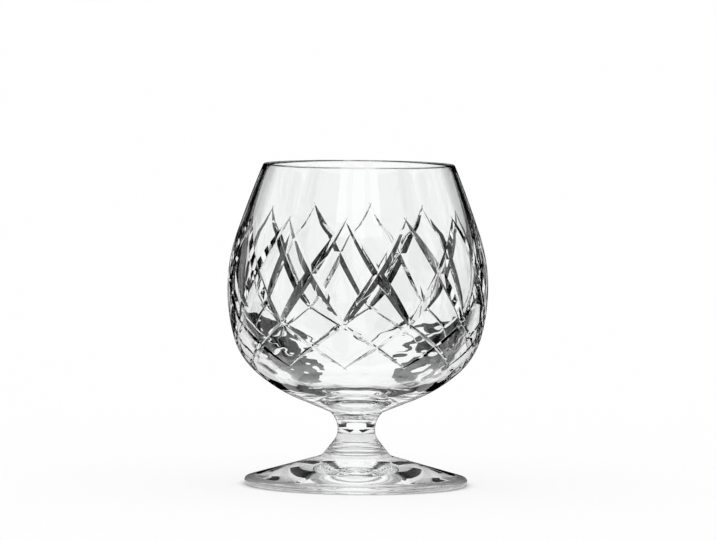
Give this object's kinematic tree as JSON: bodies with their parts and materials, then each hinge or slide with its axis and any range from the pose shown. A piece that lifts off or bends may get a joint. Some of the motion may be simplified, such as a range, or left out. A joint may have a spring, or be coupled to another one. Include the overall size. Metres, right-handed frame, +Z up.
{
  "type": "brandy snifter",
  "caption": "Footed drinking glass with a wide round bowl that narrows to the mouth, a cut diamond lattice round the belly, a short stem and a round foot.",
  "frame": {"origin": "on the table at the centre of the foot", "axes": "+Z up the glass's own axis, -Y towards the viewer; one diamond's upper point stands a few degrees left of the front"},
  "size_m": [0.0972, 0.0972, 0.12],
  "materials": {
    "crystal": "clear lead crystal, polished, with sharp polished mitre cuts"
  },
  "bodies": {
    "root": {"bowl": "crystal", "stem": "crystal", "foot": "crystal"}
  },
  "joints": []
}
